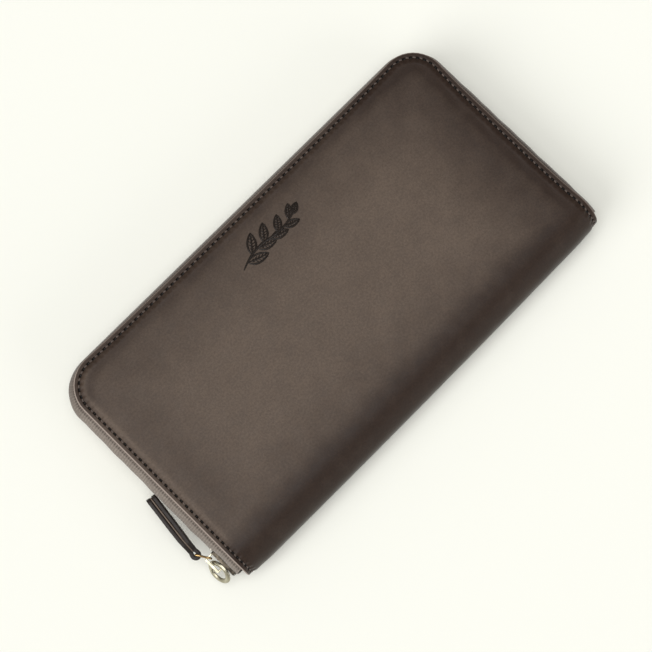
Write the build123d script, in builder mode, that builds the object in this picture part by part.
"""Zip around wallet, closed, lying on its back cover. Millimetres, +Z up.

The origin is the middle of the resting face under the back cover. X runs along the spine, and +Y from the
spine to the long zip side. The front cover is the mirror image of the back one about the middle plane.
"""

from build123d import *
import os
from math import cos, floor, radians, sin

# Cover
length = 195.5
width = 103.8
thickness = 24.0
corner_radius = 13.8
leather_t = 1.3
foam_t = 0.8
board_t = 0.9
lining_t = 0.4
inner_inset = 8.0
lining_inset = 1.0
seam_inset = 2.1
seam_groove_w = 0.8
seam_groove_d = 0.4

# Card panel: a backing with stepped pockets in two columns
card_layer_t = 0.45
card_rows = 4
card_row_step = 11.0
card_panel_inset = 4.0
card_column_w = 87.0
card_column_gap = 1.0
card_first_top_y = 33.0
card_bottom_y = -36.0

# End gussets, a zigzag of four leaves at each end
gusset_t = 0.4
gusset_depth = 7.5
gusset_edge_x = 93.0
gusset_span_y = (-36.0, 44.0)

# Main zip: it bulges out round the covers, and lies a little askew under them
tape_t = 0.6
tape_hem = 6.5
tape_bulge = 1.75
zip_shift_x = -0.45
zip_shift_y = -0.85
tape_bend_radius = 2.5
tape_edge_gap = 1.0
tape_flex_y = -32.0
tooth_pitch = 2.5
tooth_run = 1.15
tooth_half_t = 1.05
tooth_nose = 0.8
tooth_leg = 3.0
tooth_taper_share = 1 / 3
zip_end_y = -47.6
first_tooth_y = -42.4
last_tooth_y = -44.9

# Main slider, with its nose towards the spine
slider_length = 12.2
slider_rear_half_w = 4.2
slider_nose_half_w = 5.0
slider_y = -40.9
slider_inside = 1.2
slider_plate_t = 0.65
channel_half_w = 3.3
slot_half_t = 0.42
post_length = 3.0
post_half_w = 0.8
post_from_nose = 0.8
coin_post_half_w = 0.5
cut_through = 30.0

# Crown on the slider's outer plate
crown_length = 7.4
crown_half_w = 0.5
crown_hole_h = 2.7
crown_bar_t = 1.0
crown_leg = 0.7
crown_round_share = 0.6
crown_rear_y = -34.7

# Pull ring, hung through the crown and leaning out at its foot
ring_radius = 4.3
ring_band_half = 0.95
ring_half_t = 0.55
ring_pass_y = -38.6
ring_pass_gap = 1.5
ring_lean = 30.0
ring_droop = 40.0

# Pull link, from the crown to the strap
link_pin_y = -36.2
link_pin_gap = 1.4
link_bar_x = -106.45
link_bar_y = -31.0
link_t = 0.8
link_wire = 0.8
link_eye_half = 1.05
link_slot_half = 2.3
link_neck = 0.35
link_shoulder = 0.6

# Pull strap, one strip folded round the link's bar and sewn face to face
strap_tip_x = -103.0
strap_tip_y = -3.0
strap_t = 1.6
strap_w = 9.4
strap_neck_w = 3.8
strap_loop_inner = 0.75
strap_loop_outer = 2.1
strap_tip_round = 1.5

# Coin pocket, the middle divider, with a zip in its front wall
coin_half_length = 84.5
coin_bottom_y = -42.0
coin_top_y = 44.5
coin_wall_t = 0.6
coin_back_z = 9.9
coin_front_z = 13.5
coin_window_y = (30.5, 41.5)
coin_zip_y = 36.0
coin_zip_end_x = 81.0
coin_tape_t = 0.5
coin_tape_gap = 0.7
coin_tape_hem_y = 26.5
coin_tooth_pitch = 2.0
coin_tooth_run = 0.9
coin_tooth_half_t = 0.8
coin_tooth_nose = 0.5
coin_tooth_leg = 1.9

# Coin slider and its puller
coin_slider_length = 8.4
coin_slider_half_w = 3.0
coin_slider_x = 75.0
coin_slider_inside = 0.95
coin_plate_t = 0.5
coin_channel_half = 2.2
coin_slot_half = 0.37
coin_crown_length = 5.0
coin_crown_half_w = 0.7
coin_crown_hole_h = 1.2
coin_crown_bar_t = 0.5
coin_crown_leg = 0.8
coin_puller_length = 20.0
coin_puller_w = 5.0
coin_puller_t = 0.8
coin_puller_round = 1.2
coin_puller_eye = (2.6, 3.0)

# Worked out
half_length = length / 2
spine_y = -width / 2
edge_y = width / 2
mid_z = thickness / 2
fold_y = spine_y + mid_z
middle = Plane.XY.offset(mid_z)
foam_z = leather_t
board_z = foam_z + foam_t
lining_z = board_z + board_t
backing_z = lining_z + lining_t
tape_x = -half_length - tape_bulge + zip_shift_x
far_tape_x = half_length + tape_bulge + zip_shift_x
slider_half_t = slider_inside + slider_plate_t

os.makedirs("parts", exist_ok=True)


def save(part, name):
    """Writes one finished piece as its own node."""
    part.label = name
    export_step(part, f"parts/{name}.step")


def save_both(part, name):
    """Writes a piece of the back cover, and its mirror image for the front cover."""
    save(part, f"back_{name}")
    save(mirror(part, about=middle), f"front_{name}")


def cover_layer(low_z, layer_t, inset, start_y):
    """A flat layer of the back cover: square at start_y, round at its two zip side corners."""
    run_y = edge_y - inset - start_y
    with BuildPart() as layer:
        with BuildSketch(Plane.XY.offset(low_z)) as plan:
            with Locations((0, start_y + run_y / 2)):
                Rectangle(length - 2 * inset, run_y)
            fillet(plan.vertices().group_by(Axis.Y)[-1], corner_radius - inset)
        extrude(amount=layer_t)
    return layer.part


def edge_path(outward, end_y, z=0.0, shift_x=0.0, shift_y=0.0):
    """The U that runs round the three zip sides, outward of the leather's edge, and shifted as a whole."""
    near_x, far_x = shift_x - half_length - outward, shift_x + half_length + outward
    y = edge_y + outward + shift_y
    with BuildLine(Plane.XY.offset(z)) as path:
        corner_points = [(near_x, end_y), (near_x, y), (far_x, y), (far_x, end_y)]
        FilletPolyline(corner_points, radius=corner_radius + outward)
    return path


# Leather panels, with the groove that the edge seam is sunk in
seam_path = edge_path(-seam_inset, fold_y)
seam_plane = Plane((-half_length + seam_inset, fold_y, 0), x_dir=(-1, 0, 0), z_dir=(0, 1, 0))


def seam_run(depth):
    """The run of the edge seam, swept round the cover from its resting face up to depth."""
    with BuildPart() as run:
        with BuildSketch(seam_plane):
            Rectangle(seam_groove_w, depth, align=(Align.CENTER, Align.MIN))
        sweep(path=seam_path.line)
    return run.part


with BuildPart() as panel:
    add(cover_layer(0, leather_t, 0, fold_y))
    add(seam_run(seam_groove_d), mode=Mode.SUBTRACT)
save_both(panel.part, "panel")

with BuildPart() as seam_thread:
    add(seam_run(seam_groove_d))
save_both(seam_thread.part, "edge_thread")

# The spine is the same hide as the two panels, bent half round between them
with BuildPart() as spine:
    with BuildSketch(Plane.YZ.offset(-half_length)):
        with Locations((fold_y, mid_z)):
            Circle(mid_z)
            Circle(mid_z - leather_t, mode=Mode.SUBTRACT)
            Rectangle(mid_z, thickness, align=(Align.MIN, Align.CENTER), mode=Mode.SUBTRACT)
    extrude(amount=length)
save(spine.part, "spine_panel")

# Layers inside each cover
save_both(cover_layer(foam_z, foam_t, inner_inset, fold_y), "padding")
save_both(cover_layer(board_z, board_t, inner_inset, fold_y), "board")
save_both(cover_layer(lining_z, lining_t, lining_inset, fold_y), "lining")
save_both(cover_layer(backing_z, card_layer_t, card_panel_inset, fold_y), "card_backing")


def card_row(number):
    """One row of card pockets: a leaf in each column, one step lower and one layer higher than the last."""
    low_z = backing_z + card_layer_t * number
    top_y = card_first_top_y - card_row_step * (number - 1)
    column_x = (card_column_w + card_column_gap) / 2
    with BuildPart() as row:
        with BuildSketch(Plane.XY.offset(low_z)):
            with Locations((-column_x, top_y), (column_x, top_y)):
                Rectangle(card_column_w, top_y - card_bottom_y, align=(Align.CENTER, Align.MAX))
        extrude(amount=card_layer_t)
    return row.part


for number in range(1, card_rows + 1):
    save_both(card_row(number), f"card_row_{number}")


# Gussets: four leaves folded flat between the two card panels, the coin pocket in the middle fold
def gusset():
    """The gusset of the left end, a zigzag in the XZ plane that runs along the end."""
    low_z = backing_z + card_layer_t + gusset_t / 2
    leaf_z = (mid_z - low_z) / 2
    crest_x, root_x = -gusset_edge_x, -gusset_edge_x + gusset_depth
    zigzag = [
        (crest_x, low_z),
        (root_x, low_z + leaf_z),
        (crest_x, mid_z),
        (root_x, mid_z + leaf_z),
        (crest_x, thickness - low_z),
    ]
    plane = Plane((0, gusset_span_y[1], 0), x_dir=(1, 0, 0), z_dir=(0, -1, 0))
    with BuildPart() as bellows:
        with BuildSketch(plane):
            with BuildLine() as fold:
                Polyline(zigzag)
            trace(fold.line, gusset_t)
        extrude(amount=gusset_span_y[1] - gusset_span_y[0])
    return bellows.part


left_gusset = gusset()
save(left_gusset, "left_gusset")
save(mirror(left_gusset, about=Plane.YZ), "right_gusset")


# Main zip: a tape sewn under each cover's edge, bowed out to the chain at the middle height
def zip_tape():
    """The back cover's tape: a hem under the leather, a bend round the edge, and the wall up to the chain.

    Beyond the fold it has no hem, because the spine has none to sew it to.
    """
    near, far = tape_bulge - tape_t / 2, tape_bulge + tape_t / 2
    bend_u, bend_z = tape_bulge - tape_bend_radius, leather_t + tape_t / 2 + tape_bend_radius
    top_z = mid_z - tape_edge_gap
    path = edge_path(0, zip_end_y, 0, zip_shift_x, zip_shift_y)
    start = Plane((zip_shift_x - half_length, zip_end_y, 0), x_dir=(-1, 0, 0), z_dir=(0, 1, 0))
    with BuildPart() as tape:
        with BuildSketch(start):
            with BuildLine():
                Line((-tape_hem, leather_t), (bend_u, leather_t))
                RadiusArc((bend_u, leather_t), (far, bend_z), -(tape_bend_radius + tape_t / 2))
                Polyline((far, bend_z), (far, top_z), (near, top_z), (near, bend_z))
                RadiusArc((near, bend_z), (bend_u, leather_t + tape_t), tape_bend_radius - tape_t / 2)
                Polyline((bend_u, leather_t + tape_t), (-tape_hem, leather_t + tape_t), (-tape_hem, leather_t))
            make_face()
        sweep(path=path.line)
        with BuildSketch():
            with Locations((0, fold_y)):
                Rectangle(length, length, align=(Align.CENTER, Align.MAX))
        extrude(amount=mid_z, mode=Mode.SUBTRACT)
    return tape.part


def tape_length(tape, keep):
    """The part of a tape beyond the flexing ends, or the two ends themselves."""
    with BuildPart() as length_of_tape:
        add(tape)
        split(bisect_by=Plane((0, tape_flex_y, 0), z_dir=(0, 1, 0)), keep=keep)
    return length_of_tape.part


# Each tape's two ends lie in the fold, where the front ones flex, so they are apart from the long run
back_tape = zip_tape()
save_both(tape_length(back_tape, Keep.TOP), "zip_tape")
save_both(tape_length(back_tape, Keep.BOTTOM), "zip_tape_ends")


def tooth(run, half_t, nose, leg, slot_half, slot_start):
    """A tooth: a head across the chain's middle line, and two legs crimped on the tape's edge.

    Local X is through the tape, local Y is across to the other tape, and local Z runs along the chain.
    """
    taper = half_t * tooth_taper_share
    with BuildPart() as piece:
        with BuildSketch(Plane.XY.offset(-run / 2)):
            with BuildLine():
                Polyline(
                    (-half_t + taper, nose),
                    (half_t - taper, nose),
                    (half_t, nose - taper),
                    (half_t, -leg),
                    (slot_half, -leg),
                    (slot_half, -slot_start),
                    (-slot_half, -slot_start),
                    (-slot_half, -leg),
                    (-half_t, -leg),
                    (-half_t, nose - taper),
                    close=True,
                )
            make_face()
        extrude(amount=run)
    return piece.part


def teeth_row(shift):
    """Teeth along the whole main chain, pointing up from the back cover, moved by shift along the chain."""
    path = edge_path(tape_bulge, last_tooth_y, mid_z, zip_shift_x, zip_shift_y).wire()
    lead = first_tooth_y - last_tooth_y
    count = floor((path.length - 2 * lead - shift) / tooth_pitch) + 1
    places = []
    for index in range(count):
        spot = lead + shift + index * tooth_pitch
        tangent = path.tangent_at(spot, position_mode=PositionMode.LENGTH)
        point = path.position_at(spot, position_mode=PositionMode.LENGTH)
        places.append(Plane(point, x_dir=tangent.cross(Vector(0, 0, -1)), z_dir=tangent))
    piece = tooth(tooth_run, tooth_half_t, tooth_nose, tooth_leg, tape_t / 2, tape_edge_gap)
    return Compound([piece.moved(place.location) for place in places])


save(teeth_row(0), "back_zip_teeth")
save(mirror(teeth_row(tooth_pitch / 2), about=middle), "front_zip_teeth")


def end_stops():
    """The stops crimped on the back tape's two ends, clear of the slider's post."""
    low, high = mid_z - tooth_leg, mid_z - tape_edge_gap - tape_t
    with BuildPart() as stops:
        for stop_x in (tape_x, far_tape_x):
            with Locations((stop_x, last_tooth_y, (low + high) / 2)):
                Box(2 * tooth_half_t, tooth_run, high - low)
                Box(tape_t, tooth_run, high - low, mode=Mode.SUBTRACT)
    return stops.part


save_both(end_stops(), "zip_stops")


# Sliders: local X to the nose, local Y across the tape, local Z out from the tape
def slider_body(plane, run, rear_half, nose_half, inside, plate_t, channel_half, slot_half, post_half):
    """Two plates with turned-in flanges, joined near the nose by a post that parts the teeth."""
    half_t = inside + plate_t
    with BuildPart() as body:
        with BuildSketch(plane.offset(-half_t)) as outline:
            with BuildLine():
                Polyline(
                    (-run / 2, -rear_half),
                    (0, -rear_half),
                    (run / 2, -nose_half),
                    (run / 2, nose_half),
                    (0, rear_half),
                    (-run / 2, rear_half),
                    close=True,
                )
            make_face()
            fillet(outline.vertices(), plate_t)
        extrude(amount=2 * half_t)
        with BuildSketch(plane.offset(-inside)):
            Rectangle(cut_through, 2 * channel_half)
        extrude(amount=2 * inside, mode=Mode.SUBTRACT)
        with BuildSketch(plane.offset(-slot_half)):
            Rectangle(cut_through, cut_through)
        extrude(amount=2 * slot_half, mode=Mode.SUBTRACT)
        with BuildSketch(plane.offset(-inside)):
            with Locations((run / 2 - post_from_nose - post_length / 2, 0)):
                SlotOverall(post_length, 2 * post_half)
        extrude(amount=2 * inside)
    return body.part


def crown_bridge(plane, centre_x, base, run, half_w, hole_h, bar_t, leg):
    """The bridge on a slider's outer plate: two legs and a bar that the pull passes under."""
    side = Plane(
        plane.from_local_coords((centre_x, half_w, base)), x_dir=plane.x_dir, z_dir=-plane.y_dir
    )
    with BuildPart() as bridge:
        with BuildSketch(side):
            Rectangle(run, hole_h + bar_t, align=(Align.CENTER, Align.MIN))
            Rectangle(run - 2 * leg, hole_h, align=(Align.CENTER, Align.MIN), mode=Mode.SUBTRACT)
        extrude(amount=2 * half_w)
        outward = Axis(plane.origin, plane.z_dir)
        top_edges = bridge.faces().sort_by(outward)[-1].edges()
        fillet(top_edges.filter_by(Axis(plane.origin, plane.y_dir)), bar_t * crown_round_share)
    return bridge.part


slider_plane = Plane((tape_x, slider_y, mid_z), x_dir=(0, -1, 0), z_dir=(-1, 0, 0))
save(
    slider_body(
        slider_plane,
        slider_length,
        slider_rear_half_w,
        slider_nose_half_w,
        slider_inside,
        slider_plate_t,
        channel_half_w,
        slot_half_t,
        post_half_w,
    ),
    "main_slider",
)
crown_x = slider_y - crown_rear_y + crown_length / 2
save(
    crown_bridge(
        slider_plane,
        crown_x,
        slider_half_t,
        crown_length,
        crown_half_w,
        crown_hole_h,
        crown_bar_t,
        crown_leg,
    ),
    "main_slider_crown",
)

# Pull ring: its plane holds the Y direction and a direction that falls away outwards
plate_x = tape_x - slider_half_t
lean, droop = radians(ring_lean), radians(ring_droop)
ring_fall = Vector(-sin(lean), 0, -cos(lean))
ring_pass = Vector(plate_x - ring_pass_gap, ring_pass_y, mid_z)
ring_middle = ring_pass - Vector(0, ring_radius * cos(droop), 0) + ring_fall * ring_radius * sin(droop)
ring_axis = Axis(ring_middle, Vector(0, 1, 0).cross(ring_fall))
with BuildPart() as pull_ring:
    with BuildSketch(Plane(ring_middle, x_dir=ring_fall, z_dir=(0, 1, 0))):
        with Locations((ring_radius, 0)):
            Ellipse(ring_band_half, ring_half_t)
    revolve(axis=ring_axis)
save(pull_ring.part, "pull_ring")

# Pull link: a flat frame that stands on edge, its narrow eye round the crown's bar
link_pin = Vector(plate_x - link_pin_gap, link_pin_y, mid_z)
link_bar = Vector(link_bar_x, link_bar_y, mid_z)
link_run = (link_bar - link_pin).normalized()
link_reach = (link_bar - link_pin).length
link_plane = Plane(link_pin, x_dir=link_run, z_dir=link_run.cross(Vector(0, 0, 1)))


def link_outline(grow):
    """The link's opening, grown by grow on every side."""
    near, far = link_wire / 2 - grow, link_reach - link_wire / 2 + grow
    with BuildLine() as line:
        Polyline(
            (near, -link_eye_half - grow),
            (far * link_neck, -link_eye_half - grow),
            (far * link_shoulder, -link_slot_half - grow),
            (far, -link_slot_half - grow),
            (far, link_slot_half + grow),
            (far * link_shoulder, link_slot_half + grow),
            (far * link_neck, link_eye_half + grow),
            (near, link_eye_half + grow),
            close=True,
        )
    return line.line


with BuildPart() as pull_link:
    with BuildSketch(link_plane.offset(-link_t / 2)):
        with BuildLine():
            add(link_outline(link_wire))
        make_face()
        with BuildLine():
            add(link_outline(0))
        make_face(mode=Mode.SUBTRACT)
    extrude(amount=link_t)
save(pull_link.part, "pull_link")

# Pull strap
strap_tip = Vector(strap_tip_x, strap_tip_y, mid_z)
strap_run = (strap_tip - link_bar).normalized()
strap_reach = (strap_tip - link_bar).length
strap_plan = Plane(link_bar, x_dir=strap_run, z_dir=(0, 0, 1))
strap_side = Plane(link_bar, x_dir=strap_run, z_dir=strap_run.cross(Vector(0, 0, 1)))
with BuildPart() as pull_strap:
    with BuildSketch(strap_plan.offset(-strap_w / 2)):
        Circle(strap_loop_outer)
        Rectangle(strap_reach, 2 * strap_t, align=(Align.MIN, Align.CENTER))
        Circle(strap_loop_inner, mode=Mode.SUBTRACT)
    extrude(amount=strap_w)
    with BuildSketch(strap_side.offset(-2 * strap_loop_outer)):
        with BuildLine():
            Polyline(
                (-2 * strap_loop_outer, -strap_neck_w / 2),
                (strap_loop_outer, -strap_neck_w / 2),
                (2 * strap_loop_outer, -strap_w / 2),
                (strap_reach - strap_tip_round, -strap_w / 2),
                (strap_reach, -strap_w / 2 + strap_tip_round),
                (strap_reach, strap_w / 2 - strap_tip_round),
                (strap_reach - strap_tip_round, strap_w / 2),
                (2 * strap_loop_outer, strap_w / 2),
                (strap_loop_outer, strap_neck_w / 2),
                (-2 * strap_loop_outer, strap_neck_w / 2),
                close=True,
            )
        make_face()
    extrude(amount=4 * strap_loop_outer, mode=Mode.INTERSECT)
save(pull_strap.part, "pull_strap")

# Coin pocket: two walls on a U-shaped edge, and a strip over the zip
coin_width = 2 * coin_half_length


def coin_leaf(low_z, leaf_t, low_y, high_y):
    """A flat leaf across the whole coin pocket."""
    with BuildPart() as leaf:
        with BuildSketch(Plane.XY.offset(low_z)):
            with Locations((0, (low_y + high_y) / 2)):
                Rectangle(coin_width, high_y - low_y)
        extrude(amount=leaf_t)
    return leaf.part


save(coin_leaf(coin_back_z, coin_wall_t, coin_bottom_y, coin_top_y), "coin_back_wall")
save(coin_leaf(coin_front_z, coin_wall_t, coin_bottom_y, coin_window_y[0]), "coin_front_wall")
save(coin_leaf(coin_front_z, coin_wall_t, coin_window_y[1], coin_top_y), "coin_top_strip")

coin_height = coin_top_y - coin_bottom_y
coin_inside_z = coin_back_z + coin_wall_t
coin_tape_low_z = coin_front_z - coin_tape_t
with BuildPart() as coin_edge:
    with BuildSketch(Plane.XY.offset(coin_inside_z)):
        with Locations((0, (coin_bottom_y + coin_top_y) / 2)):
            Rectangle(coin_width, coin_height)
            Rectangle(coin_width - 2 * coin_wall_t, coin_height - 2 * coin_wall_t, mode=Mode.SUBTRACT)
    extrude(amount=coin_tape_low_z - coin_inside_z)
save(coin_edge.part, "coin_edge")

# Coin zip
coin_zip_z = coin_tape_low_z + coin_tape_t / 2
coin_zip_middle = Plane((0, coin_zip_y, 0), z_dir=(0, 1, 0))
save(coin_leaf(coin_tape_low_z, coin_tape_t, coin_tape_hem_y, coin_zip_y - coin_tape_gap), "coin_lower_tape")
save(coin_leaf(coin_tape_low_z, coin_tape_t, coin_zip_y + coin_tape_gap, coin_top_y), "coin_upper_tape")


def coin_teeth(shift):
    """Teeth along the coin zip's lower tape, moved by shift along the chain."""
    piece = tooth(
        coin_tooth_run, coin_tooth_half_t, coin_tooth_nose, coin_tooth_leg, coin_tape_t / 2, coin_tape_gap
    )
    count = floor((coin_slider_x - shift + coin_zip_end_x) / coin_tooth_pitch)
    places = []
    for index in range(count):
        spot_x = -coin_zip_end_x + shift + index * coin_tooth_pitch
        places.append(Plane((spot_x, coin_zip_y, coin_zip_z), x_dir=(0, 0, 1), z_dir=(-1, 0, 0)))
    return Compound([piece.moved(place.location) for place in places])


save(coin_teeth(0), "coin_lower_teeth")
save(mirror(coin_teeth(coin_tooth_pitch / 2), about=coin_zip_middle), "coin_upper_teeth")

coin_slider_plane = Plane((coin_slider_x, coin_zip_y, coin_zip_z), x_dir=(1, 0, 0), z_dir=(0, 0, 1))
coin_slider_half_t = coin_slider_inside + coin_plate_t
save(
    slider_body(
        coin_slider_plane,
        coin_slider_length,
        coin_slider_half_w,
        coin_slider_half_w,
        coin_slider_inside,
        coin_plate_t,
        coin_channel_half,
        coin_slot_half,
        coin_post_half_w,
    ),
    "coin_slider",
)
save(
    crown_bridge(
        coin_slider_plane,
        0,
        coin_slider_half_t,
        coin_crown_length,
        coin_crown_half_w,
        coin_crown_hole_h,
        coin_crown_bar_t,
        coin_crown_leg,
    ),
    "coin_slider_crown",
)

# Coin puller: a flat tab with a slotted eye round the crown's bar
coin_puller_z = coin_zip_z + coin_slider_half_t + (coin_crown_hole_h - coin_puller_t) / 2
coin_puller_x = coin_slider_x - coin_crown_length / 2 + coin_crown_leg + coin_puller_round
with BuildPart() as coin_puller:
    with BuildSketch(Plane.XY.offset(coin_puller_z)) as tab_outline:
        with Locations((coin_puller_x, coin_zip_y)):
            Rectangle(coin_puller_length, coin_puller_w, align=(Align.MAX, Align.CENTER))
        fillet(tab_outline.vertices(), coin_puller_round)
        with Locations((coin_puller_x - coin_puller_round, coin_zip_y)):
            Rectangle(*coin_puller_eye, align=(Align.MAX, Align.CENTER), mode=Mode.SUBTRACT)
    extrude(amount=coin_puller_t)
save(coin_puller.part, "coin_puller")
